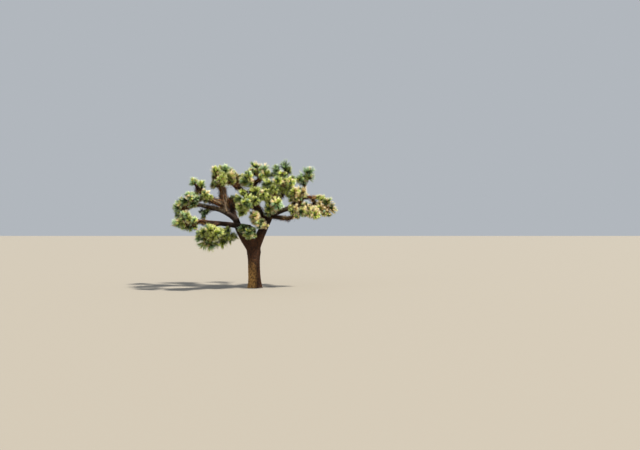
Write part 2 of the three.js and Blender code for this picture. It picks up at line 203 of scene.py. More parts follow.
limbs = {"trunk": (curve_through((0, 0, 0), *map(in_metres, TRUNK)), (TRUNK_RADIUS, TRUNK_RADIUS))}
for name, (on, at, through, tip, radii) in BOUGHS.items():
    start = point_on(limbs[on][0], at)
    curve = curve_through(start, in_metres(through), in_metres(tip))
    limbs[name] = (curve, tuple(r * MM for r in radii))
print("limb lengths:", {name: round(length_of(curve), 2) for name, (curve, _) in limbs.items()})

# %% [markdown]
# The arms grow by the solid's seeded rule. A mass's name seeds its own little random source,
# a linear congruential one, because the same few lines of it give the same numbers in any
# language. What turns round a stem is measured from two directions square to it.

# %% A seeded rule
NAME_START, NAME_STEP = 7, 31  # these turn a name into a seed
DRAW_STEP, DRAW_SHIFT = 1664525, 1013904223  # and these turn a seed into random numbers
WORD = 2**32  # where those numbers wrap round
NEARLY_AWAY = 0.95  # a heading that points this much away is crossed with UP instead


def random_from(words):
    state = NAME_START
    for letter in words:
        state = (state * NAME_STEP + ord(letter)) % WORD
    while True:
        state = (state * DRAW_STEP + DRAW_SHIFT) % WORD
        yield state / WORD


def across(heading):
    """Two directions square to a heading and to each other."""
    first = unit(np.cross(UP if abs(heading[1]) > NEARLY_AWAY else AWAY, heading))
    return first, np.cross(heading, first)


first_draws = random_from("top")
print("first numbers for the mass top:", [round(next(first_draws), 3) for _ in range(3)])

# %% [markdown]
# A mass of foliage is a stem with side arms. The stem leaves its bough in a soft bend, the
# side arms turn round the stem by 140 degrees each, so that none stands right above another,
# and each arm's end is the middle of one head.

# %% Arms and heads
ARM_TURN = 140  # degrees round the stem from one side arm to the next
ARM_STRAY = 30  # degrees over which that turn varies
SIDE_SPREAD = 0.2  # share over which the length of side arms varies
ARM_FIRST = 0.35  # side arms leave their stem from this share of the way
ARM_SPAN = 0.4  # over this further share
ARM_BEND = (0.7, 0.1)  # a side arm's bend, outward and onward in shares of its length
ARM_END = (1, 0.6)  # and its end
FOLLOW_END = 0.8  # how much a stem at a bough's tip keeps to the bough's direction
FOLLOW_SIDE = 0.25  # the same for a stem that leaves its bough lower down


def stem_curve(on, at, tip):
    carrier = limbs[on][0]
    start = point_on(carrier, min(at, SUNK))
    follow = FOLLOW_END if at == 1 else FOLLOW_SIDE
    leave = unit(tip - start) * (1 - follow) + heading_on(carrier, at) * follow
    return np.array((start, start + leave * np.linalg.norm(tip - start) / 2, tip))


def side_curve(stem, i, heads, side, roll, draws):
    share = ARM_FIRST + ARM_SPAN * (i - 0.5) / (heads - 1)
    root = point_on(stem, share)
    along = heading_on(stem, share)
    first, second = across(along)
    turn = math.radians(roll + ARM_TURN * (i - 1) + ARM_STRAY * (next(draws) - 0.5))
    out = first * math.cos(turn) + second * math.sin(turn)
    length = side * MM * (1 + SIDE_SPREAD * (next(draws) - 0.5))
    bend, end = (root + (out * outward + along * onward) * length for outward, onward in (ARM_BEND, ARM_END))
    return np.array((root, bend, end))


arms = []
for name, (on, at, tip, heads, side, roll) in MASSES.items():
    draws = random_from(name)
    stem = stem_curve(on, at, in_metres(tip))
    arms.append({"mass": name, "curve": stem, "radii": STEM_RADII, "stem": True})
    for i in range(1, heads):
        curve = side_curve(stem, i, heads, side, roll, draws)
        arms.append({"mass": name, "curve": curve, "radii": ARM_RADII, "stem": False})
for arm in arms:
    arm["centre"] = arm["curve"][2]
    arm["axis"] = unit(heading_on(arm["curve"], 1.0) + HEAD_LIFT * UP)
print("arms, each with a head:", len(arms))

# %% [markdown]
# Small helpers come next. Colours are written as the hex values that a painter would pick on
# a screen, and one function turns them to the linear values that Blender mixes light in. One
# more adds a shader node with its settings and its links, so that each material below reads
# as a list of what it is made of.

# %% Helpers for materials
def colour(code):
    shares = [int(code[i : i + 2], 16) / 255 for i in (1, 3, 5)]
    linear = [s / 12.92 if s <= 0.04045 else ((s + 0.055) / 1.055) ** 2.4 for s in shares]
    return (*linear, 1.0)


def add_node(tree, kind, inputs=None, **settings):
    """Adds one node. An input is a value, or the socket that it comes from."""
    made = tree.nodes.new(kind)
    for name, value in settings.items():
        setattr(made, name, value)
    for name, value in (inputs or {}).items():
        if isinstance(value, bpy.types.NodeSocket):
            tree.links.new(value, made.inputs[name])
        else:
            made.inputs[name].default_value = value
    return made


def new_material(name):
    """A material with an empty node tree and its output."""
    made = bpy.data.materials.new(name)
    made.use_nodes = True
    made.node_tree.nodes.clear()
    return made, made.node_tree, add_node(made.node_tree, "ShaderNodeOutputMaterial")


print("mid grey is", round(colour("#808080")[0], 3), "in linear light")

# %% [markdown]
# An operator acts on all that is selected, so everything else is deselected first. And what
# is worked out as arrays becomes a mesh in one go, because Blender takes a whole array of
# corners at once much faster than it takes them one by one.

# %% Helpers for pieces
def select_only(*pieces):
    bpy.ops.object.select_all(action="DESELECT")
    for piece in pieces:
        piece.select_set(True)
    bpy.context.view_layer.objects.active = pieces[0]


def joined_mesh(name, points, triangles, materials, paint):
    """One object from arrays: points, triangles as rows of three, and each triangle's material."""
    mesh = bpy.data.meshes.new(name)
    mesh.vertices.add(len(points))
    mesh.vertices.foreach_set("co", np.ascontiguousarray(points, np.float32).ravel())
    mesh.loops.add(3 * len(triangles))
    mesh.loops.foreach_set("vertex_index", np.ascontiguousarray(triangles, np.int32).ravel())
    mesh.polygons.add(len(triangles))
    mesh.polygons.foreach_set("loop_start", np.arange(0, 3 * len(triangles), 3, dtype=np.int32))
    for material in materials:
        mesh.materials.append(material)
    mesh.polygons.foreach_set("material_index", np.ascontiguousarray(paint, np.int32))
    mesh.update(calc_edges=True)
    made = bpy.data.objects.new(name, mesh)
    bpy.context.scene.collection.objects.link(made)
    return made


def triangles_of(piece):
    return sum(len(face.vertices) - 2 for face in piece.data.polygons)


# %% [markdown]
# One leaf is modelled once and then copied by the thousand. A real one is a stiff dagger with a flat upper
# side and a keel below, so it starts as a three-sided cone. Two cuts across give it rings, and each ring is
# scaled: nearly parallel for two thirds of its length and then drawn to a sharp point. A dry leaf is the
# same with one cut, thinner and rolled in.

# %% Model one leaf
CONE_WIDTH = math.sqrt(3)  # of a cone with three sides and a radius of 1


def model_leaf(name, base, rings, thickness):
    """A leaf one unit long and wide, as arrays: rings are (share of the length, width)."""
    bpy.ops.object.select_all(action="DESELECT")
    bpy.ops.mesh.primitive_cone_add(
        vertices=3, radius1=1, radius2=0, depth=1, end_fill_type="NGON",
        location=(0, 0, 0.5), rotation=(0, 0, math.pi),
    )
    leaf = bpy.context.object
    leaf.name = name
    bpy.ops.object.transform_apply()
    bpy.ops.object.mode_set(mode="EDIT")
    for share, _ in rings:
        bpy.ops.mesh.select_all(action="SELECT")
        bpy.ops.mesh.bisect(plane_co=(0, 0, share), plane_no=(0, 0, 1))
    bpy.ops.mesh.select_all(action="SELECT")
    bpy.ops.mesh.quads_convert_to_tris()
    bpy.ops.object.mode_set(mode="OBJECT")
    widths = {0.0: base, **dict(rings)}
    for vertex in leaf.data.vertices:
        level = min(widths, key=lambda share: abs(share - vertex.co.z))
        if vertex.co.z < 1 - 1e-6:  # all but the point
            spread = widths[level] / (1 - vertex.co.z) / CONE_WIDTH
            vertex.co.x *= spread
            vertex.co.y *= spread * thickness
    points = np.array([vertex.co for vertex in leaf.data.vertices])
    faces = np.array([face.vertices for face in leaf.data.polygons])
    bpy.data.objects.remove(leaf)
    return points, faces


live_leaf = model_leaf("live_leaf", base=0.9, rings=((0.36, 1.0), (0.74, 0.62)), thickness=0.42)
dry_leaf = model_leaf("dry_leaf", base=0.8, rings=((0.5, 0.85),), thickness=0.5)
print("faces of a live leaf:", len(live_leaf[1]), "and of a dry one:", len(dry_leaf[1]))

# %% [markdown]
# Leaves are laid out as arrays: a root, a tip, the side that the blade's flat face looks to,
# a width and a bend for each. Copying the modelled leaf onto all of them is then one sum, and
# thousands of objects never exist. The cost is that a leaf can't be moved later by itself,
# which nobody needs on a tree.

# %% Lay leaves
def lay_leaves(pattern, roots, tips, facing, widths, bends):
    points, faces = pattern
    along = tips - roots
    ahead = unit(along)
    side = unit(np.cross(facing, ahead))
    flat = np.cross(ahead, side)
    share = points[:, 2][None, :, None]
    laid = roots[:, None] + along[:, None] * share
    laid = laid + side[:, None] * points[:, 0][None, :, None] * widths[:, None, None]
    lift = points[:, 1][None, :, None] * widths[:, None, None]
    lift = lift + 4 * share * (1 - share) * bends[:, None, None]
    laid = laid + flat[:, None] * lift
    first = np.arange(len(roots))[:, None, None] * len(points)
    return laid.reshape(-1, 3), (faces[None] + first).reshape(-1, 3)


# %% [markdown]
# A tree this open is known by the gaps in it as much as by its boughs. The clear openings that the
# photograph shows are written down as ovals in its pixels, as they were judged, and what grows in front of
# one, seen from the camera, is shortened or left out. Each leaf keeps its own distance from the oval, so an
# opening has a ragged edge and not a cut one. Some ovals only trim the crown's outline, and the last five
# lay a limb bare.

# %% Clear openings
CAMERA_AT = np.array((2.73, -26.1, 2.37))
FRAME_SIZE = (640, 450)  # pixels
FOCAL = 622  # pixels
HORIZON_DROP = 6  # pixels below the frame's middle
RAGGED = (-0.06, 0.05)  # how much an opening's half width differs from leaf to leaf
LEAST_HALF = 0.01  # that half width stays above this
GAPS_SEEN = (  # middle across and down, half width and half height
    (213, 216.5, 6.0, 3.9), (222.5, 217.8, 4.6, 2.3), (211, 213, 1.6, 4.5), (207.4, 217.5, 2.2, 2.6),
    (194, 212.5, 4.0, 4.3), (191.5, 188.8, 7.0, 2.8), (198.5, 190.0, 1.6, 1.6), (206.8, 184, 2.0, 3.5),
    (213.7, 192.5, 3.8, 2.8), (232.5, 191.3, 3.6, 3.8), (239.5, 170.8, 3.2, 3.2), (254, 177.3, 1.8, 1.4),
    (271.6, 168.5, 0.8, 4.6), (295.4, 171.5, 3.6, 4.4), (310.0, 187.0, 3.4, 5.6), (316, 192.0, 9.0, 2.6),
    (310.5, 201.6, 4.0, 2.0), (262.6, 203.2, 1.3, 1.8), (264.4, 206.4, 1.2, 1.8), (286, 213.6, 5.0, 1.6),
    (244.5, 219, 4.0, 2.5), (327, 221.0, 9.0, 3.6), (313, 222.6, 6.0, 2.6), (295.5, 221.5, 4.0, 2.6),
    (309.0, 163.8, 7.0, 2.9), (227.0, 161.2, 6.0, 2.4), (208.2, 177.5, 2.8, 7.5), (339.5, 204.0, 2.2, 7.0),
    (194.0, 174.5, 5.0, 2.4), (248.2, 193.5, 1.6, 4.0), (255.4, 185.0, 2.6, 1.8), (242.2, 190.4, 3.8, 3.2),
    (282.5, 172.8, 4.4, 3.2), (282.5, 194.0, 1.6, 3.0),
)
METRES_A_PIXEL = -CAMERA_AT[1] / FOCAL  # on the upright plane through the trunk


def on_plane(x, y, half_width, half_height):
    """Middle and halves in metres of an oval that is given in the photograph's pixels."""
    right = x - FRAME_SIZE[0] / 2
    above = FRAME_SIZE[1] / 2 + HORIZON_DROP - y
    middle = CAMERA_AT[::2] + np.array((right, above)) * METRES_A_PIXEL
    return (*middle, half_width * METRES_A_PIXEL, half_height * METRES_A_PIXEL)


OPENINGS = np.array([on_plane(*gap) for gap in GAPS_SEEN])


def in_opening(points, margin):
    """Whether each point stands in front of an opening that is wider by the margin."""
    share = CAMERA_AT[1] / (CAMERA_AT[1] - points[..., 1:2])
    seen = CAMERA_AT + (points - CAMERA_AT) * share
    offsets = seen[..., None, ::2] - OPENINGS[:, :2]
    halves = np.maximum(OPENINGS[:, 2:] + np.asarray(margin)[..., None, None], LEAST_HALF)
    return ((offsets / halves) ** 2).sum(axis=-1).min(axis=-1) < 1


clear = float((OPENINGS[:, 2] * OPENINGS[:, 3]).sum() * math.pi)
print("openings:", len(OPENINGS), "of", round(clear, 2), "m2")

# %% [markdown]
# Whatever grows next has to know what is in its way. Limbs and arms are thick, bent lines, so
# each is written down as a row of balls, close enough to overlap. How near something comes to
# a limb is then a matter of distances to balls, which numpy works out for all at once.

# %% Limbs as rows of balls
SAMPLE_STEP = 0.05  # from one ball to the next, at most


def sampled(curve, radii):
    """A limb as a row of balls, for measuring how near something comes to it."""
    count = max(2, math.ceil(length_of(curve) / SAMPLE_STEP))
    shares = np.linspace(0, 1, count + 1)
    return point_on(curve, shares), radii[0] + (radii[1] - radii[0]) * shares


sample_points, sample_radii, sample_owner = [], [], []
for owner, (curve, radii) in enumerate([(a["curve"], a["radii"]) for a in arms] + list(limbs.values())):
    points, thick = sampled(curve, radii)
    sample_points.append(points)
    sample_radii.append(thick)
    sample_owner.append(np.full(len(points), owner))
sample_points = np.concatenate(sample_points)
sample_radii = np.concatenate(sample_radii)
sample_owner = np.concatenate(sample_owner)
print("balls:", len(sample_points))

# %% [markdown]
# The solid stops at its arms, but a real arm carries finer twigs, each with a small head. So
# the same rule grows once more from every arm, at a shorter length. A twig is kept only in
# its own mass's space: near one of that mass's heads, nearer to it than to any other mass,
# with room round its tip, and clear of limbs. So the gaps between the masses stay open.

# %% Finer twigs
TWIG_SIDE = 205  # mm, in the place of the arms' 200 to 320
TWIG_RADII = (0.030, 0.024)
TWIGS_ON_STEM = 6
TWIGS_ON_ARM = 3
TWIG_ROOM = 0.20  # from a twig's tip to any head's middle or other twig's tip, at least
TWIG_STRAY = 0.40  # and to the nearest head of its own mass, at most
TWIG_CLEAR = 0.06  # and to any limb's surface, at least
TWIG_ASIDE = 0.07  # and to an opening's edge, at least

centres = np.array([arm["centre"] for arm in arms])
families = np.array([arm["mass"] for arm in arms])
twigs = []
for index, arm in enumerate(arms):
    draws = random_from(arm["mass"] + "_twigs" + str(index))
    count = (TWIGS_ON_STEM if arm["stem"] else TWIGS_ON_ARM) + 1
    roll = 360 * next(draws)
    for i in range(1, count):
        curve = side_curve(arm["curve"], i, count, TWIG_SIDE, roll, draws)
        tip = curve[2]
        from_heads = np.linalg.norm(centres - tip, axis=1)
        own = from_heads[families == arm["mass"]].min()
        foreign = from_heads[families != arm["mass"]].min()
        from_twigs = min((np.linalg.norm(twig["centre"] - tip) for twig in twigs), default=math.inf)
        from_limbs = (np.linalg.norm(sample_points - tip, axis=1) - sample_radii).min()
        roomy = min(own, foreign, from_twigs) > TWIG_ROOM and from_limbs > TWIG_CLEAR
        if roomy and own < TWIG_STRAY and own < foreign and not in_opening(tip, TWIG_ASIDE):
            axis = unit(heading_on(curve, 1.0) + HEAD_LIFT * UP)
            twig = {"mass": arm["mass"], "curve": curve, "radii": TWIG_RADII, "centre": tip, "axis": axis}
            twigs.append(twig)
print("twigs, each with a small head:", len(twigs))

# %% [markdown]
# A leaf keeps to its own head's space, as in the solid: it ends before the plane half way to
# any rival head, and it is cut short or left out where another limb is in its way. That keeps
# two heads from growing through each other, and keeps the gaps between them clear.

# %% The room that a leaf has
NEAR = 2 * HEAD_REACH + 0.1  # nothing further from a head's middle is in its leaves' way
SHORTEN = 0.85  # a leaf with something in its way is shortened by this share, step by step
STEPS_FOR_LIMBS = 8
STEPS_FOR_OPENINGS = 4


def room_along(centre, rivals, owner, roots, directions, wanted):
    """How far from its root each leaf may reach, and 0 where it has no room at all."""
    reach = wanted.copy()
    away = rivals - centre
    apart = np.linalg.norm(away, axis=1)
    close = (apart < NEAR) & (apart > 1e-6)
    for gap, heading in zip(apart[close], away[close] / apart[close, None]):
        toward = directions @ heading
        ahead = gap / 2 - CELL_GAP - (roots - centre) @ heading
        limit = np.where((toward > 0) & (ahead > 0), ahead / np.maximum(toward, 1e-3), reach)
        reach = np.minimum(reach, limit)
    from_centre = np.linalg.norm(sample_points - centre, axis=1)
    close = (from_centre < NEAR) & (sample_owner != owner)
    offsets = sample_points[close][None] - roots[:, None]
    thick = sample_radii[close] + LIMB_GAP
    onward = (offsets * directions[:, None]).sum(axis=2)
    for _ in range(STEPS_FOR_LIMBS):
        along = np.clip(onward, 0, reach[:, None])
        gaps = np.linalg.norm(offsets - along[..., None] * directions[:, None], axis=2)
        blocked = (gaps < thick).any(axis=1)
        reach = np.where(blocked, reach * SHORTEN, reach)
    return np.where(blocked, 0, reach)


# %% [markdown]
# The rosette. A head's leaves stand on the last hand's breadth of its arm in a spiral, each
# about 137.5 degrees round from the last, the golden angle that packs them evenly. The
# youngest point straight ahead, the oldest stand out sideways and a little back.

# %% Spread leaves round a head
SEED = 41  # of all that varies by chance below, so that every run gives the same tree
LOWEST_COSINE = -0.5  # the oldest live leaves point this far back
TURN_JITTER = 5  # radians by which turns vary, for each unit by which the cosine does
rng = np.random.default_rng(SEED)


def ball_directions(axis, count, jitter):
    """Directions spread evenly over the part of a ball round an axis, in a golden spiral."""
    first, second = across(axis)
    cosine = 1 - (1 - LOWEST_COSINE) * (np.arange(count) + 0.5) / count
    cosine = np.clip(cosine + rng.normal(0, jitter, count), -1, 1)
    turn = GOLDEN_TURN * np.arange(count)
    turn = turn + rng.normal(0, TURN_JITTER * jitter, count) + rng.uniform(0, math.tau)
    sine = np.sqrt(1 - cosine**2)
    round_it = np.cos(turn)[:, None] * first + np.sin(turn)[:, None] * second
    return cosine[:, None] * axis + sine[:, None] * round_it, round_it * sine[:, None]


# %% [markdown]
# No two heads of a Joshua tree have quite the same green: some are bluer or yellower. Light is painted in
# too: heads that stand in the sun get painted sunlight and are pale, and those in the shade get painted
# shade and are near black. So a mass has a mood: the shares in which five families of colour are dealt out
# to its sprays.

# %% Moods of colour
# shares of the families deep green, olive, yellow-green, grey-green and cream; deep green is painted shade
# and cream is painted sunlight
USUAL = (0.17, 0.24, 0.34, 0.11, 0.14)
# painted sunlight, for heads that stand in the sun
PAINTED_SUN = (0.12, 0.12, 0.22, 0.06, 0.48)
COOL = (0.20, 0.08, 0.20, 0.42, 0.10)
OLIVE = (0.20, 0.38, 0.38, 0.02, 0.02)
WARM = (0.18, 0.25, 0.27, 0.08, 0.22)
# painted deep shade, for heads low in the crown's shade
PAINTED_DEEP_SHADE = (0.36, 0.44, 0.18, 0.01, 0.01)
# painted shade, for heads in the crown's shade
PAINTED_SHADE = (0.62, 0.16, 0.06, 0.14, 0.02)
MOODS = {
    PAINTED_SUN: ("crotch", "far_right_tip", "far_right_top", "far_right_low", "right_middle", "upper_middle"),
    COOL: (
        "left_row", "left_top", "low_end_lower", "outer_upper", "crown_left", "right_top", "droop_low",
    ),
    OLIVE: ("middle_low", "middle_high", "centre_low"),
    PAINTED_DEEP_SHADE: ("droop_front", "droop_inner"),
    WARM: ("upper_left_front", "left_knob", "right_knob", "low_end_upper", "right_low"),
    PAINTED_SHADE: ("fork", "hanging", "rear_left", "rear_middle", "outer_lower", "top"),
}
MOOD_OF = {mass: shares for shares, masses in MOODS.items() for mass in masses}
print("masses with a mood of their own:", len(MOOD_OF), "of", len(MASSES))

# %% [markdown]
# The leaves end up as a few large pieces and not as thousands of small ones, by thirds of the
# crown, so that each piece stays light enough to handle. A pile gathers what is laid for one
# piece. A leaf's three colours are dealt out to its faces by how far along it they lie.

# %% Gather leaves for pieces
# a leaf's dark base is painted shade, and its pale tip is its own pale edge with a painted highlight
SHADES = 3  # base, blade and tip
SHADE_EDGES = (0.4, 0.78)  # shares of a leaf's length where one ends and the next starts


def shade_of_faces(pattern):
    points, faces = pattern
    return np.digitize(points[faces][:, :, 2].mean(axis=1), SHADE_EDGES)


class Pile:
    """Leaves or tubes gathered for one piece."""

    def __init__(self):
        self.points, self.faces, self.paint = [], [], []
        self.count = 0

    def add(self, laid, paint):
        points, faces = laid
        self.points.append(points)
        self.faces.append(faces + self.count)
        self.paint.append(np.broadcast_to(np.ravel(paint), (len(faces),)))
        self.count += len(points)

    def piece(self, name, materials):
        points, faces, paint = (np.concatenate(rows) for rows in (self.points, self.faces, self.paint))
        return joined_mesh(name, points, faces, materials, paint)


SIDES = {"left": -0.7, "middle": 0.75, "right": 9.0}  # a piece takes what ends before this x


def side_at(x):
    return next(side for side, edge in SIDES.items() if x < edge)


side_of = {mass: side_at(row[2][0] * MM) for mass, row in MASSES.items()}
live = {side: Pile() for side in SIDES}
small = {side: Pile() for side in SIDES}
leaf_shades = shade_of_faces(live_leaf)
print("masses by side:", {side: list(side_of.values()).count(side) for side in SIDES})

# %% [markdown]
# Leaves gather in sprays, the few that lean together as wind and sun leave them, and one
# spray is longer or paler than the next. That is what makes a head look tufted, not like a
# ball. The youngest leaves crowd at the tip, and one head is larger than the next.

# %% One head of leaves
SHORTEST = 0.5  # a leaf with less room than this share of its length is left out
HEAD = {"leaves": 230, "sprays": 26, "reach": HEAD_REACH, "foot": 0.13, "width": LEAF_WIDTH}
TWIG_HEAD = {"leaves": 84, "sprays": 14, "reach": 0.20, "foot": 0.08, "width": LEAF_WIDTH * 0.9}
LEAF_JITTER = 0.02  # how far leaves stand off the even spiral
SPRAY_JITTER = 0.05  # and sprays
LEAN = 0.75  # how strongly the leaves of a spray lean together
LEAF_STRAY = 0.07  # and how far each still goes its own way
CROWDED = 0.8  # below 1, so the youngest leaves stand closest together
ROOTED = 0.7  # leaves start at this share of their arm's radius
OLD_SHORTER = 0.06  # the oldest leaves are shorter by this share
FACING_OUT = 0.05  # a blade faces along the head's axis, and outward by this much
LEAF_WIDTHS = (0.85, 1.15)
LEAF_BENDS = (0.008, 0.006)  # metres, mean and spread
MAIN_SHARE = 0.3  # of the sprays take their head's main colours, the others any
VIGOUR = (0.90, 1.06)  # one head is larger than the next
VIGOUR_OF = {  # and some are larger or smaller by their place
    "right_top": 1.35, "top": 1.4, "right_knob": 1.2,
    "droop_front": 1.12, "droop_inner": 1.16, "droop_low": 1.12,
    "outer_lower": 1.06, "outer_upper": 1.08,
    "hanging": 0.85, "left_top": 0.92, "left_knob": 0.88,
}
SPRAY_LENGTHS = (0.70, 1.14)
LEAF_LENGTHS = (0.84, 1.0)


def grow_head(pile, arm, rivals, owner, size):
    """One rosette of leaves on the end of an arm or a twig."""
    count = size["leaves"]
    directions, out = ball_directions(arm["axis"], count, LEAF_JITTER)
    sprays, _ = ball_directions(arm["axis"], size["sprays"], SPRAY_JITTER)
    spray = (directions @ sprays.T).argmax(axis=1)
    directions = unit(directions + LEAN * sprays[spray] + rng.normal(0, LEAF_STRAY, (count, 3)))
    age = (np.arange(count) + 0.5) / count
    share = np.clip(1 - size["foot"] * age**CROWDED / length_of(arm["curve"]), 0, 1)
    roots = point_on(arm["curve"], share) + out * arm["radii"][1] * ROOTED
    lengths = rng.uniform(*SPRAY_LENGTHS, size["sprays"])[spray] * rng.uniform(*LEAF_LENGTHS, count)
    vigour = rng.uniform(*VIGOUR) * VIGOUR_OF.get(arm["mass"], 1)
    wanted = size["reach"] * vigour * lengths * (1 - OLD_SHORTER * age)
    reach = room_along(arm["centre"], rivals, owner, roots, directions, wanted)
    ragged = rng.uniform(*RAGGED, count)
    for _ in range(STEPS_FOR_OPENINGS):
        shut = in_opening(roots + directions * reach[:, None], ragged)
        reach = np.where(shut, reach * SHORTEN, reach)
    reach = np.where(shut, 0, reach)
    kept = reach > SHORTEST * wanted
    tips = roots + directions * reach[:, None]
    tips[:, 2] = np.maximum(tips[:, 2], FLOOR_GAP)
    widths = size["width"] * rng.uniform(*LEAF_WIDTHS, count)
    bends = rng.normal(*LEAF_BENDS, count)
    facing = arm["axis"] + out * FACING_OUT
    laid = lay_leaves(live_leaf, roots[kept], tips[kept], facing[kept], widths[kept], bends[kept])
    shares = MOOD_OF.get(arm["mass"], USUAL)
    main = rng.choice(len(shares), p=shares)
    mixed = rng.choice(len(shares), size["sprays"], p=shares)
    family = np.where(rng.random(size["sprays"]) < MAIN_SHARE, main, mixed)[spray[kept]]
    pile.add(laid, family[:, None] * SHADES + leaf_shades[None])


# %% [markdown]
# Every arm gets a full head and every twig a small one. An arm's leaves give way to all other
# heads, a twig's only to those of other masses, so that twigs fill their own mass.

# %% Grow the live leaves
for index, arm in enumerate(arms):
    grow_head(live[side_of[arm["mass"]]], arm, centres, index, HEAD)
for twig in twigs:
    rivals = centres[families != twig["mass"]]
    grow_head(small[side_of[twig["mass"]]], twig, rivals, -1, TWIG_HEAD)
leaf_points = len(live_leaf[0])
print("live leaves:", sum(p.count for p in live.values()) // leaf_points, "on arms and",
      sum(p.count for p in small.values()) // leaf_points, "on twigs")

# %% [markdown]
# Dead leaves don't fall. They fold back against the arm and stay for years. One function
# lays them on any stretch of a limb, pointing back down it and sagging a little under their
# own weight. It needs directions square to the limb that don't twist, so that the spiral of
# leaves stays even along a bend, and each of them is made from the one before.

# %% Fold leaves back
DRY_ROOTED = 0.85  # dry leaves start at this share of their limb's radius
DRY_STRAY = 0.3  # of their turn round the limb, in radians
SAG = 0.18  # how much their weight draws them down
DRY_WIDTHS = (0.7, 1.2)
DRY_BENDS = (0.012, 0.01)  # metres, mean and spread


def rings_along(curve, shares):
    """Places on a curve with two directions square to it that don't twist."""
    places, headings = point_on(curve, shares), heading_on(curve, shares)
    normals = [across(headings[0])[0]]
    for heading in headings[1:]:
        normals.append(unit(normals[-1] - heading * (normals[-1] @ heading)))
    normals = np.array(normals)
    return places, headings, normals, np.cross(headings, normals)


def lay_back(pile, limb, span, count, kind, colours):
    """Dry leaves on the stretch between two shares of a limb, folded back along it."""
    if count < 1 or span[1] <= span[0]:
        return
    curve, radii = limb
    lengths, tilts = kind
    shares = np.sort(rng.uniform(*span, count))
    places, headings, normals, binormals = rings_along(curve, shares)
    turn = GOLDEN_TURN * np.arange(count) + rng.normal(0, DRY_STRAY, count)
    out = np.cos(turn)[:, None] * normals + np.sin(turn)[:, None] * binormals
    thick = (radii[0] + (radii[1] - radii[0]) * shares)[:, None]
    tilt = np.radians(rng.uniform(*tilts, count))[:, None]
    ahead = unit(out * np.sin(tilt) - headings * np.cos(tilt) - UP * SAG)
    length = rng.uniform(*lengths, count)[:, None]
    roots = places + out * thick * DRY_ROOTED
    tips = roots + ahead * length
    tips[:, 2] = np.maximum(tips[:, 2], FLOOR_GAP)
    widths = DRY_WIDTH * rng.uniform(*DRY_WIDTHS, count)
    bends = rng.normal(*DRY_BENDS, count)
    picks = rng.choice(len(colours), count, p=colours)
    kept = ~in_opening(tips, rng.uniform(*RAGGED, count))
    laid = lay_leaves(dry_leaf, roots[kept], tips[kept], out[kept], widths[kept], bends[kept])
    pile.add(laid, np.repeat(picks[kept], len(dry_leaf[1])))


# %% [markdown]
# Dry leaves are straw-coloured near the head, rusty and grey further down. Below each head they make a loose
# skirt, and on the rest of the arm a thatch that lies flat. Under heads with painted sunlight the skirt is
# paler, as painted sunlight, and under heads in painted shade it is darker, as painted shade.

# %% Lay the dry leaves
SKIRT_FROM, SKIRT_TO = 0.15, 0.38  # where it is below a head's middle, in metres along the arm
LEAST_SHARE = 0.05  # of an arm, below which nothing of the skirt stands
ARM_THATCH_FROM = 0.02
# each kind has its lengths in metres, and its tilts from the limb in degrees
SKIRT = (DRY_LENGTH, (18, 62))
THATCH = ((0.12, 0.2), (6, 26))
# shares of straw, cream, rust and grey
NEAR_HEAD = (0.26, 0.10, 0.28, 0.36)
# paler skirts are painted sunlight, and darker skirts are painted shade
NEAR_SUNLIT_HEAD = (0.42, 0.24, 0.20, 0.14)
NEAR_SHADED_HEAD = (0.08, 0.02, 0.26, 0.64)
SHADED_SKIRTS = MOODS[PAINTED_SHADE] + ("left_top", "right_top", "outer_upper")
ON_ARM = (0.24, 0.06, 0.30, 0.40)
ON_BOUGH = (0.08, 0.01, 0.21, 0.70)
dry = {side: Pile() for side in SIDES}
for arm in arms:
    limb = (arm["curve"], arm["radii"])
    length = length_of(arm["curve"])
    pile = dry[side_of[arm["mass"]]]
    top, bottom = 1 - SKIRT_FROM / length, max(LEAST_SHARE, 1 - SKIRT_TO / length)
    shares = NEAR_SUNLIT_HEAD if arm["mass"] in MOODS[PAINTED_SUN] else NEAR_HEAD
    shares = NEAR_SHADED_HEAD if arm["mass"] in SHADED_SKIRTS else shares
    lay_back(pile, limb, (bottom, top), SKIRT_LEAVES, SKIRT, shares)
    count = int(THATCH_A_METRE * length * bottom)
    lay_back(pile, limb, (ARM_THATCH_FROM, bottom), count, THATCH, ON_ARM)
print("dry leaves on arms:", sum(p.count for p in dry.values()) // len(dry_leaf[0]))

# %% [markdown]
# Younger boughs still keep part of their thatch, older ones have shed it. So each bough has
# a share of its length from which dry leaves cover it, thinning out towards the bare part.
# A bough's very end gets a tuft of them that points on and outward, so that it doesn't stop
# like a sawn-off post.

# %% Thatch the younger boughs
BARE = ("trunk", "left_bough", "right_bough", "low_riser")
THATCH_FROM = {"low_limb": 0.8, "arch_limb": 0.7, "right_mid_limb": 0.6, "centre_limb": 0.4}
THATCH_USUAL = 0.12
BOUGH_THATCH = ((0.12, 0.20), (5, 32))  # lengths and tilts
THINNER = 0.5  # how dense it is at its start
SHAG = ((0.18, 0.28), (22, 55))
SHAG_FROM = 0.25
TUFT = ((0.12, 0.19), (60, 150))
TUFT_FROM = 0.92
TUFT_LEAVES = 50
SHAGGY = (
    "left_riser", "left_reach", "rear_left_limb", "centre_left_limb", "centre_right_limb", "centre_limb",
    "top_limb", "right_riser",
)
for name, limb in limbs.items():
    if name in BARE:
        continue
    start = THATCH_FROM.get(name, THATCH_USUAL)
    length = length_of(limb[0])
    pile = dry[side_at(limb[0][2][0])]
    for begin, crowd in ((start, THINNER), ((start + 1) / 2, 1)):
        count = int(THATCH_A_METRE * crowd * length * (1 - begin))
        lay_back(pile, limb, (begin, 1), count, BOUGH_THATCH, ON_BOUGH)
    if name in SHAGGY:
        lay_back(pile, limb, (SHAG_FROM, 1), int(THATCH_A_METRE * length), SHAG, ON_BOUGH)
    lay_back(pile, limb, (TUFT_FROM, 1), TUFT_LEAVES, TUFT, ON_BOUGH)
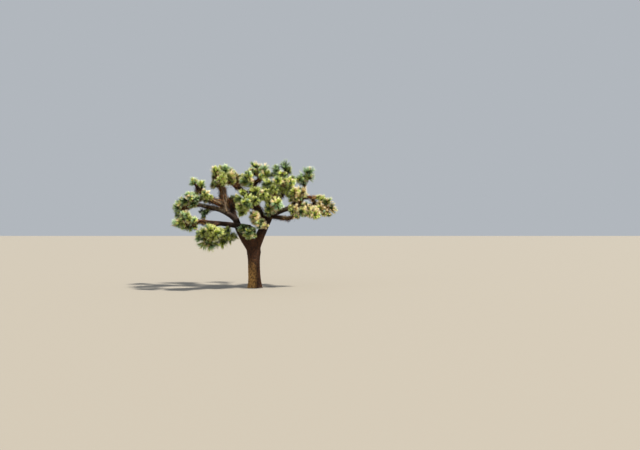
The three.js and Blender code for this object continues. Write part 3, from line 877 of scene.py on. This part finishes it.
print("dry leaves in all:", sum(p.count for p in dry.values()) // len(dry_leaf[0]))

# %% [markdown]
# The arms under the leaves are plain tapered tubes. They hardly show, so they get eight sides,
# or six on a twig, and no relief. Each is laid ring by ring along its curve and closed at both
# ends, which the youngest leaves and the bough hide.

# %% Tubes for arms
ARM_SIDES, ARM_RINGS = 8, 7
TWIG_SIDES, TWIG_RINGS = 6, 4
BARE_SHARE = 0.85  # of an arm's radius, because its dry leaves make up the rest


def tube(curve, radii, end, rings, sides):
    """A closed tube along the first part of a curve, up to the share at which it ends."""
    shares = np.linspace(0, end, rings)
    places, _, normals, binormals = rings_along(curve, shares)
    turn = np.linspace(0, math.tau, sides, endpoint=False)[None, :, None]
    rim = np.cos(turn) * normals[:, None] + np.sin(turn) * binormals[:, None]
    thick = radii[0] + (radii[1] - radii[0]) * shares
    points = (places[:, None] + rim * thick[:, None, None]).reshape(-1, 3)
    points = np.concatenate((points, places[[0, -1]]))
    ring, step = np.meshgrid(np.arange(rings - 1), np.arange(sides), indexing="ij")
    a = (ring * sides + step).ravel()
    b = (ring * sides + (step + 1) % sides).ravel()
    k, last = np.arange(sides), (rings - 1) * sides
    low, high = np.full(sides, rings * sides), np.full(sides, rings * sides + 1)
    corners = (
        (a, b, b + sides), (a, b + sides, a + sides),
        (low, (k + 1) % sides, k), (high, last + k, last + (k + 1) % sides),
    )
    return points, np.concatenate([np.stack(three, 1) for three in corners])


arm_pile = Pile()
for arm in arms:
    bare = tuple(radius * BARE_SHARE for radius in arm["radii"])
    arm_pile.add(tube(arm["curve"], bare, 1, ARM_RINGS, ARM_SIDES), 0)
for twig in twigs:
    arm_pile.add(tube(twig["curve"], twig["radii"], 1, TWIG_RINGS, TWIG_SIDES), 0)
print("arm triangles:", sum(len(f) for f in arm_pile.faces))

# %% [markdown]
# The bark is one skin over trunk and boughs. It starts as copies of the solid limbs, joined
# with short tubes for the first stretch of every stem. The trunk's copy is drawn down below
# the ground first, and is cut off there last of all, so that the foot stays sharp.

# %% Join copies of the limbs
WELD = 0.0001  # corners of a copy that are nearer than this are one
AT_GROUND = 0.001  # a corner lower than this is on the trunk's foot
COPY_DEPTH = 0.12  # how far the foot of the copy is drawn down
ROOT_SHARE = 0.4  # the part of a stem that is melted into its bough
ROOT_SIDES, ROOT_RINGS = 10, 5


def copy_of(node):
    """A free copy of a solid, with its facets welded together."""
    made = frame["nodes"][node].copy()
    made.data = made.data.copy()
    made.name = node + "_copy"
    made.parent = None
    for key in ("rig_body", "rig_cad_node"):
        del made[key]
    bpy.context.scene.collection.objects.link(made)
    select_only(made)
    bpy.ops.object.mode_set(mode="EDIT")
    bpy.ops.mesh.select_all(action="SELECT")
    bpy.ops.mesh.remove_doubles(threshold=WELD)
    bpy.ops.object.mode_set(mode="OBJECT")
    return made


copies = [copy_of(name) for name in limbs]
for vertex in copies[0].data.vertices:
    if vertex.co.z < AT_GROUND:
        vertex.co.z = -COPY_DEPTH
stem_pile = Pile()
for arm in arms:
    if arm["stem"]:
        stem_pile.add(tube(arm["curve"], STEM_RADII, ROOT_SHARE, ROOT_RINGS, ROOT_SIDES), 0)
stems = stem_pile.piece("stem_roots", [])
select_only(*copies, stems)
bpy.ops.object.join()
skin = bpy.context.object
skin.name = "bark_skin"
print("joined:", len(copies), "limbs and", len(stem_pile.faces), "stems")

# %% [markdown]
# A voxel remesh turns what was joined into one even, fine mesh, which melts the limbs together
# at each fork as real wood does. Smoothing then rounds the solid's flat facets, and goes on
# much longer where the trunk widens into its boughs, by a group of points with weights.

# %% Melt them into one skin
FORK = (1.15, 2.25)  # heights between which the trunk melts into its boughs
SMOOTHING = {"": 16, "fork": 260}  # rounds everywhere, and then round the fork
SMOOTH_SHARE = 0.5  # of the way to its neighbours' middle that a point moves in a round
select_only(skin)
remesh = skin.modifiers.new("remesh", "REMESH")
remesh.mode = "VOXEL"
remesh.voxel_size = BARK_VOXEL
bpy.ops.object.modifier_apply(modifier="remesh")
around_fork = skin.vertex_groups.new(name="fork")
for vertex in skin.data.vertices:
    if FORK[0] < vertex.co.z < FORK[1]:
        share = (vertex.co.z - FORK[0]) / (FORK[1] - FORK[0])
        around_fork.add([vertex.index], math.sin(math.pi * share) ** 0.5, "REPLACE")
for group, rounds in SMOOTHING.items():
    smooth = skin.modifiers.new("smooth", "SMOOTH")
    smooth.factor = SMOOTH_SHARE
    smooth.iterations = rounds
    smooth.vertex_group = group
    bpy.ops.object.modifier_apply(modifier="smooth")
print("bark skin triangles:", triangles_of(skin))

# %% [markdown]
# Bark changes with its place, and light and shade are painted on it too. The sun bleaches the high outer
# limbs grey, and painted sunlight makes them paler still, most on top. Painted shade of the crown makes the
# limbs within it and behind it near black. Both are kept as attributes of the skin, one number for each of
# its points, for the material to read.

# %% Where bark is bleached, and where painted sunlight and painted shade fall
# sun-bleached bark together with painted sunlight
BLEACH_AND_SUN_HEIGHT = (2.80, 3.00)  # heights over which the bleaching sets in
BLEACH_AND_SUN_REACH = (1.05, 1.35)  # distances from the trunk's axis over which it sets in as well
BLEACH_AND_SUN_SIDES, BLEACH_AND_SUN_TOP = 0.6, 1.3  # what an upright side gets of it, and what facing up adds
# painted shade of the crown, in a band of heights
SHADED_HEIGHT = (2.15, 2.45, 3.15, 3.6)  # in between, the crown keeps the bark near black
SHADED_DEPTH = (0.25, 0.55)  # and from here back, above the lower of these heights


def read_from(vertices, what):
    values = np.empty(len(vertices) * 3)
    vertices.foreach_get(what, values)
    return values.reshape(-1, 3)


points = read_from(skin.data.vertices, "co")
outward = read_from(skin.data.vertices, "normal")
bleach = np.interp(points[:, 2], BLEACH_AND_SUN_HEIGHT, (0, 1))
bleach *= np.interp(np.hypot(points[:, 0], points[:, 1]), BLEACH_AND_SUN_REACH, (0, 1))
# faces that look up get more painted sunlight
bleach *= np.clip(BLEACH_AND_SUN_SIDES + outward[:, 2] * BLEACH_AND_SUN_TOP, 0, 1)
shaded = np.interp(points[:, 2], SHADED_HEIGHT, (0, 1, 1, 0))
# painted shade at the back of the crown, where painted sunlight is taken away
rear = np.interp(points[:, 1], SHADED_DEPTH, (0, 1)) * np.interp(points[:, 2], SHADED_HEIGHT[:2], (0, 1))
shaded = np.maximum(shaded, rear)
bleach *= 1 - rear
print("share of the skin bleached:", round(float(bleach.mean()), 2))
print("and in the shade:", round(float(shaded.mean()), 2))

# %% [markdown]
# Plates of bark follow every bend of their limb, so each point of the skin has to know where
# it lies, and on which limb. The limbs' middle lines are sampled closely. Of the samples near
# a point, the one whose limb's surface is nearest is taken, and not the nearest sample of
# all, because the middle of a thick limb is far from its own skin.

# %% Find the limb under a point
AXIS_STEP = 0.04  # from one sample to the next
CANDIDATES = 6  # nearest samples that are compared

samples = []
for name, (curve, radii) in limbs.items():
    count = max(2, math.ceil(length_of(curve) / AXIS_STEP))
    shares = np.linspace(0, 1, count + 1)
    places, headings, normals, binormals = rings_along(curve, shares)
    thick = radii[0] + (radii[1] - radii[0]) * shares
    alongs = length_of(curve) * shares
    samples += list(zip(places, headings, normals, binormals, thick, alongs))
finder = kdtree.KDTree(len(samples))
for k, sample in enumerate(samples):
    finder.insert(sample[0], k)
finder.balance()
print("samples on limbs:", len(samples))


def limb_under(place):
    """The sample under a place: middle, heading, two directions across, radius, length so far."""
    found = min(finder.find_n(place, CANDIDATES), key=lambda hit: hit[2] - samples[hit[1]][4])
    return samples[found[1]]


# %% [markdown]
# Old bark breaks into corky plates, longer than wide, with deep furrows between. Cells of
# that size, taken in a space that is straightened along the limb, give such plates, and finer
# cells the cracks on them. The relief is real geometry, up to 20 mm deep on the trunk and half
# that on thin limbs, and a third attribute, so that the furrows can be dark in the material.

# %% Cut the plates
THIN, STOUT = 0.1, 0.22  # radii between which the plates and furrows grow to full size
PLATE_ON_THIN = 0.6  # their size on thin limbs, as a share
FURROW_ON_THIN = 0.45
WAVES = ((0.7, 0.75), (2.2, 0.16))  # rate and size of the bends in a plate's edge
GRAINS = ((3.1, 0.18), (6.7, 0.16))  # rate and size of the roughness on it
PLATE_EDGE = 0.26  # how wide the slope of a furrow is, as a share of the plate
CRACK_RATE, CRACK_EDGE = 2.3, 0.24  # how much finer the cracks on a plate are, and their slope
FURROW_BED = 0.12  # relief in a furrow
PLATE_RISE, SCALE_RISE = 0.66, 0.2  # what a plate adds to it, and an uncracked scale on the plate
LEVEL = 0.7  # the relief at which the skin stays where it was


def within(value):
    return min(1.0, max(0.0, value))


def plates(cell, slope):
    """0 on the line between two cells, and 1 further than the slope's width from it."""
    nearest, second = noise.voronoi(cell)[0][:2]
    share = within((second - nearest) / slope)
    return share * share * (3 - 2 * share)


noise.seed_set(SEED)  # or else noise_vector takes its seed from the clock
relief = np.empty(len(points))
depth = np.empty(len(points))
for k, place in enumerate(points):
    middle, heading, normal, binormal, thick, along = limb_under(place)
    offset = place - middle
    stout = within((thick - THIN) / (STOUT - THIN))
    scale = PLATE_ON_THIN + (1 - PLATE_ON_THIN) * stout
    cell = Vector((
        offset @ normal / (PLATE[0] * scale),
        offset @ binormal / (PLATE[0] * scale),
        (along + offset @ heading) / (PLATE[1] * scale),
    ))
    wave = sum((noise.noise_vector(cell * rate) * size for rate, size in WAVES), Vector())
    plate = plates(cell + wave, PLATE_EDGE)
    scales = plates(cell * CRACK_RATE + wave, CRACK_EDGE)
    rough = sum(noise.noise(cell * rate) * size for rate, size in GRAINS)
    relief[k] = within(FURROW_BED + plate * (PLATE_RISE + SCALE_RISE * scales) + rough)
    depth[k] = FURROW * (FURROW_ON_THIN + (1 - FURROW_ON_THIN) * stout)
points += outward * ((relief - LEVEL) * depth)[:, None]
skin.data.vertices.foreach_set("co", points.astype(np.float32).ravel())
for name, values in (("relief", relief), ("bleach", bleach), ("shaded", shaded)):
    attribute = skin.data.attributes.new(name, "FLOAT", "POINT")
    attribute.data.foreach_set("value", values.astype(np.float32))
select_only(skin)
bpy.ops.object.mode_set(mode="EDIT")
bpy.ops.mesh.select_all(action="SELECT")
bpy.ops.mesh.bisect(plane_co=(0, 0, 0), plane_no=(0, 0, 1), clear_inner=True, use_fill=True)
bpy.ops.object.mode_set(mode="OBJECT")
bpy.ops.object.shade_smooth()
for vertex in skin.data.vertices:
    vertex.co.z = max(vertex.co.z, 0.0)
print("relief from", round(float(relief.min()), 2), "to", round(float(relief.max()), 2))

# %% [markdown]
# Low on the trunk the bark turns tan, partly as old bark weathers and partly as painted light. It doesn't
# set in along a line, so height and a coarse noise are mixed before the edge is drawn, which leaves patches.
# The right side of this trunk stays dark as painted shade, as in the photograph.

# %% Old bark, and painted light and shade on the trunk
PATCHES = 3.5  # to a metre, in which old bark sets in
OLD_AND_LIT_HEIGHT = (1.3, 0.45)  # heights over which it sets in, downwards
# the right side keeps painted shade
SHADED_RIGHT_SIDE = (-0.02, 0.14)  # places from left to right over which it stops again


def share_of_old(tree, place):
    """How much tan bark there is, partly old and partly painted light: in patches, low on the trunk, and not
    on its right side, which keeps painted shade.
    """
    split = add_node(tree, "ShaderNodeSeparateXYZ", {"Vector": place})
    patch = add_node(tree, "ShaderNodeTexNoise", {"Vector": place, "Scale": PATCHES, "Detail": 4.0})
    low = add_node(
        tree, "ShaderNodeMapRange",
        {"Value": split.outputs["Z"], "From Min": OLD_AND_LIT_HEIGHT[0], "From Max": OLD_AND_LIT_HEIGHT[1], "To Max": 0.8},
    ).outputs["Result"]
    patchy = add_node(
        tree, "ShaderNodeMath", {0: low, 1: patch.outputs["Fac"], 2: low}, operation="MULTIPLY_ADD"
    )
    share = add_node(
        tree, "ShaderNodeMapRange", {"Value": patchy.outputs["Value"], "From Min": 0.1, "From Max": 1.1}
    )
    leftward = add_node(
        tree, "ShaderNodeMapRange",
        {"Value": split.outputs["X"], "From Min": SHADED_RIGHT_SIDE[0], "From Max": SHADED_RIGHT_SIDE[1],
         "To Min": 1.0, "To Max": 0.0},
    )
    old_and_lit = add_node(
        tree, "ShaderNodeMath",
        {0: share.outputs["Result"], 1: leftward.outputs["Result"]}, operation="MULTIPLY",
    )
    return old_and_lit.outputs["Value"]


# %% [markdown]
# Bark is a dull, corky stuff: rough all over, with no gloss. It is dark red-brown where it is young, near
# black under the crown's painted shade, tan where it is old and where light is painted low on the trunk, and
# pale grey where the sun has bleached it and painted sunlight falls on it. The furrows keep their shade, so
# each of these is a ramp from the furrow's colour to the plate's that follows the relief, with a fine grain
# of fibres on top.

# %% Material: corky bark
BARK_COLOURS = {  # of a furrow and of a plate
    "young": ("#1b0e07", "#523016"),
    # tan of old bark and of painted light
    "old_and_lit": ("#342111", "#bc8e4c"),
    # pale grey of bleached bark and of painted sunlight
    "bleached_and_lit": ("#3a2c20", "#a8967c"),
}
# bark in painted shade keeps this share of its brightness
SHADED_SHARE = 0.36  # of its brightness that shaded bark keeps
FIBRES = 120  # to a metre across, because finer ones wouldn't show
FIBRE_STRETCH = 0.25  # and this share of that along the trunk
MIX = {"data_type": "RGBA"}  # such a node mixes its inputs 6 and 7 and gives the mix as output 2
TINT = {"data_type": "RGBA", "blend_type": "MULTIPLY"}


def corky_bark():
    material, tree, output = new_material("corky_bark")
    place = add_node(tree, "ShaderNodeTexCoord").outputs["Object"]
    relief_in, bleach_and_sunlight_in, shaded_in = (
        add_node(tree, "ShaderNodeAttribute", attribute_name=name).outputs["Fac"]
        for name in ("relief", "bleach", "shaded")
    )
    barks = {}
    for age, codes in BARK_COLOURS.items():
        made = add_node(tree, "ShaderNodeValToRGB", {"Fac": relief_in})
        for element, code in zip(made.color_ramp.elements, codes):
            element.color = colour(code)
        barks[age] = made.outputs["Color"]
    # painted shade of the crown darkens the young bark
    shade = add_node(
        tree, "ShaderNodeMapRange", {"Value": shaded_in, "To Min": 1.0, "To Max": SHADED_SHARE}
    )
    dark = add_node(
        tree, "ShaderNodeMix", {"Factor": 1.0, 6: barks["young"], 7: shade.outputs["Result"]}, **TINT
    )
    mixed = add_node(
        tree, "ShaderNodeMix",
        {"Factor": share_of_old(tree, place), 6: dark.outputs[2], 7: barks["old_and_lit"]}, **MIX,
    )
    faded_and_lit = add_node(
        # bleached bark and painted sunlight
        tree, "ShaderNodeMix", {"Factor": bleach_and_sunlight_in, 6: mixed.outputs[2], 7: barks["bleached_and_lit"]}, **MIX
    )
    stretched = add_node(
        tree, "ShaderNodeMapping", {"Vector": place, "Scale": (1.0, 1.0, FIBRE_STRETCH)}
    )
    grain = add_node(
        tree, "ShaderNodeTexNoise",
        {"Vector": stretched.outputs["Vector"], "Scale": FIBRES, "Detail": 6.0, "Roughness": 0.65},
    )
    tint = add_node(
        tree, "ShaderNodeMapRange",
        {"Value": grain.outputs["Fac"], "From Min": 0.3, "From Max": 0.7, "To Min": 0.72, "To Max": 1.25},
    )
    grained = add_node(
        tree, "ShaderNodeMix", {"Factor": 1.0, 6: faded_and_lit.outputs[2], 7: tint.outputs["Result"]}, **TINT
    )
    bump = add_node(
        tree, "ShaderNodeBump", {"Height": grain.outputs["Fac"], "Strength": 0.5, "Distance": 0.006}
    )
    surface = add_node(
        tree, "ShaderNodeBsdfPrincipled",
        {"Base Color": grained.outputs[2], "Roughness": 0.92, "Normal": bump.outputs["Normal"]},
    )
    tree.links.new(surface.outputs["BSDF"], output.inputs["Surface"])
    return material


bark = corky_bark()
print(bark.name, "nodes:", len(bark.node_tree.nodes))

# %% [markdown]
# Yucca leaves are stiff and waxy: a soft sheen, no mirror gloss. Real ones are blue-green with pale edges
# and a brown point. On top of that, light is painted on each leaf: its base gets painted shade and its tip a
# pale painted highlight, as low sun makes the edges shine cream, so a head looks pale outside and dark
# within. That has a place on each leaf, so it is dealt out as plain colours by the faces of the leaf: base,
# blade and tip. Five families vary it by spray, and of these the deep green is painted shade and the cream
# is painted sunlight.

# %% Material: leaves
DUST = 45  # patches to a metre, in wax and dust
WAXY = {"roughness": 0.5, "sheen": 0.4}
PAPERY = {"roughness": 0.85, "sheen": 0.2}
# each family: a base in painted shade, a blade, and a tip with a painted highlight
GREENS = (  # base, blade and tip
    # painted shade
    ("deep_green", "#141e0a", "#3c5224", "#86a066"),
    ("olive", "#292e10", "#949e3c", "#d2d882"),
    ("yellow_green", "#343f12", "#b2c44a", "#eaf0a4"),
    ("grey_green", "#24361f", "#8cb074", "#d8ecc6"),
    # painted sunlight
    ("cream", "#5c4820", "#e2ca8c", "#fdf0c6"),
)
PAPERS = (("straw", "#b98f55"), ("cream", "#e8c490"), ("rust", "#7c4524"), ("grey", "#483626"))


def leaf_skin(name, code, roughness, sheen):
    """A plain colour with a slight unevenness, as wax and dust give it."""
    material, tree, output = new_material(name)
    place = add_node(tree, "ShaderNodeTexCoord").outputs["Object"]
    dust = add_node(tree, "ShaderNodeTexNoise", {"Vector": place, "Scale": DUST, "Detail": 2.0})
    tint = add_node(
        tree, "ShaderNodeMapRange",
        {"Value": dust.outputs["Fac"], "From Min": 0.3, "From Max": 0.7, "To Min": 0.82, "To Max": 1.12},
    )
    mixed = add_node(
        tree, "ShaderNodeMix", {"Factor": 1.0, 6: colour(code), 7: tint.outputs["Result"]}, **TINT
    )
    surface = add_node(
        tree, "ShaderNodeBsdfPrincipled",
        {"Base Color": mixed.outputs[2], "Roughness": roughness, "Specular IOR Level": sheen},
    )
    tree.links.new(surface.outputs["BSDF"], output.inputs["Surface"])
    return material


waxy = [
    leaf_skin(f"waxy_leaf_{family}_{part}", code, **WAXY)
    for family, *codes in GREENS
    for part, code in zip(("base", "blade", "tip"), codes)
]
papery = [leaf_skin(f"papery_leaf_{name}", code, **PAPERY) for name, code in PAPERS]
print("leaf materials:", len(waxy) + len(papery))

# %% [markdown]
# Now all becomes pieces, each kind apart and each under 200,000 triangles. The bark is split where the trunk
# ends and down the middle above that, and its limbs are thinned by a Decimate modifier, which takes
# triangles from where the skin is flattest. Each piece rides on the tree's one body, and the solids that it
# stands for are hidden.

# %% Split the bark
TRUNK_TOP = 1.7  # height at which the skin is split
LIMB_DETAIL = 0.6  # share of the triangles that the limbs' skin keeps
skin.data.materials.clear()
skin.data.materials.append(bark)


def part_of_skin(name, keep):
    """A copy of the skin with only the faces whose middle passes the test."""
    made = skin.copy()
    made.data = skin.data.copy()
    made.name = name
    bpy.context.scene.collection.objects.link(made)
    drop = [not keep(face.center) for face in made.data.polygons]
    select_only(made)
    bpy.ops.object.mode_set(mode="EDIT")
    bpy.ops.mesh.select_mode(type="FACE")
    bpy.ops.object.mode_set(mode="OBJECT")
    made.data.polygons.foreach_set("select", drop)
    bpy.ops.object.mode_set(mode="EDIT")
    bpy.ops.mesh.delete(type="FACE")
    bpy.ops.object.mode_set(mode="OBJECT")
    return made


bark_pieces = {
    "bark_trunk": part_of_skin("bark_trunk", lambda at: at.z < TRUNK_TOP),
    "bark_left": part_of_skin("bark_left", lambda at: at.z >= TRUNK_TOP and at.x < 0),
    "bark_right": part_of_skin("bark_right", lambda at: at.z >= TRUNK_TOP and at.x >= 0),
}
bpy.data.objects.remove(skin)
left_limbs = [name for name, (curve, _) in limbs.items() if name != "trunk" and curve[2][0] < 0]
right_limbs = [name for name in limbs if name != "trunk" and name not in left_limbs]
stands_for = {"bark_trunk": ["trunk"], "bark_left": left_limbs, "bark_right": right_limbs}
for name, piece in bark_pieces.items():
    if name != "bark_trunk":
        select_only(piece)
        piece.modifiers.new("thin", "DECIMATE").ratio = LIMB_DETAIL
        bpy.ops.object.modifier_apply(modifier="thin")
    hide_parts(*stands_for[name])
    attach(piece, "root")
    print(name, triangles_of(piece))

# %% [markdown]
# The arms and leaves were gathered as arrays, by kind and by side, so each pile is a piece.
# The solid's masses of foliage are replaced by the leaves on their arms. Twigs and dry leaves
# come on top of those and stand for no solid of their own.

# %% Make arms and leaves into pieces
arm_piece = arm_pile.piece("arms", [bark])
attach(arm_piece, "root")
for side in SIDES:
    leaves = live[side].piece("leaves_" + side, waxy)
    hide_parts(*[mass + "_leaves" for mass, where in side_of.items() if where == side])
    twig_leaves = small[side].piece("twig_leaves_" + side, waxy)
    skirts = dry[side].piece("dry_leaves_" + side, papery)
    for piece in (leaves, twig_leaves, skirts):
        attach(piece, "root")
        print(piece.name, triangles_of(piece))

# %% [markdown]
# The studio is plain: a pale floor without an edge in view, a pale surround, one soft key
# light high at the right, where the sun stands in the photograph, and a weak fill from the
# left. Both are far off, so that the floor is lit evenly, and wide, so that shadows are soft.

# %% Floor and light
FLOOR_REACH = 400
FLOOR_COLOUR, SURROUND_COLOUR = "#928d84", "#e2e9f1"
SURROUND_STRENGTH = 0.58
bpy.ops.object.select_all(action="DESELECT")
bpy.ops.mesh.primitive_circle_add(vertices=96, radius=FLOOR_REACH, fill_type="NGON", location=(0, 0, 0))
floor = bpy.context.object
floor.name = "floor"


def pale_plaster():
    material, tree, output = new_material("pale_plaster")
    surface = add_node(
        tree, "ShaderNodeBsdfPrincipled", {"Base Color": colour(FLOOR_COLOUR), "Roughness": 0.9}
    )
    tree.links.new(surface.outputs["BSDF"], output.inputs["Surface"])
    return material


floor.data.materials.append(pale_plaster())

world = bpy.data.worlds.new("pale_surround")
world.use_nodes = True
surround = world.node_tree.nodes["Background"]
surround.inputs["Color"].default_value = colour(SURROUND_COLOUR)
surround.inputs["Strength"].default_value = SURROUND_STRENGTH
bpy.context.scene.world = world


def soft_light(name, place, strength, spread, code):
    """A far light that shines from the given side, with shadows as soft as its spread."""
    data = bpy.data.lights.new(name, "SUN")
    data.energy = strength
    data.angle = math.radians(spread)
    data.color = colour(code)[:3]
    made = bpy.data.objects.new(name, data)
    made.location = place
    made.rotation_euler = (-Vector(place)).to_track_quat("-Z", "Y").to_euler()
    bpy.context.scene.collection.objects.link(made)


soft_light("key", place=(10.0, -3.5, 16.5), strength=6.6, spread=6, code="#fff6e6")
soft_light("fill", place=(-14.0, -12.0, 8.0), strength=0.4, spread=60, code="#eaf1ff")
print("lights:", [lamp.name for lamp in bpy.data.lights])

# %% [markdown]
# The camera stands where the photograph was taken: 26 m off, at 2.4 m over the tree's foot,
# and to its right, so the tree is left of the middle. The focal length gives the photograph's
# scale of 42 mm a pixel at the tree, and the horizon lies six pixels below the middle.

# %% Camera
SENSOR = 36  # mm
FURTHEST = 300  # that the camera sees
data = bpy.data.cameras.new("camera")
data.sensor_width = SENSOR
data.lens = SENSOR * FOCAL / FRAME_SIZE[0]
data.clip_end = FURTHEST
camera = bpy.data.objects.new("camera", data)
camera.location = CAMERA_AT
camera.rotation_euler = (math.pi / 2 + math.atan(HORIZON_DROP / FOCAL), 0, 0)
bpy.context.scene.collection.objects.link(camera)
bpy.context.scene.camera = camera
bpy.context.scene.view_settings.view_transform = "Standard"
print("camera at", [round(v, 2) for v in camera.location], "with a lens of", round(data.lens, 1), "mm")
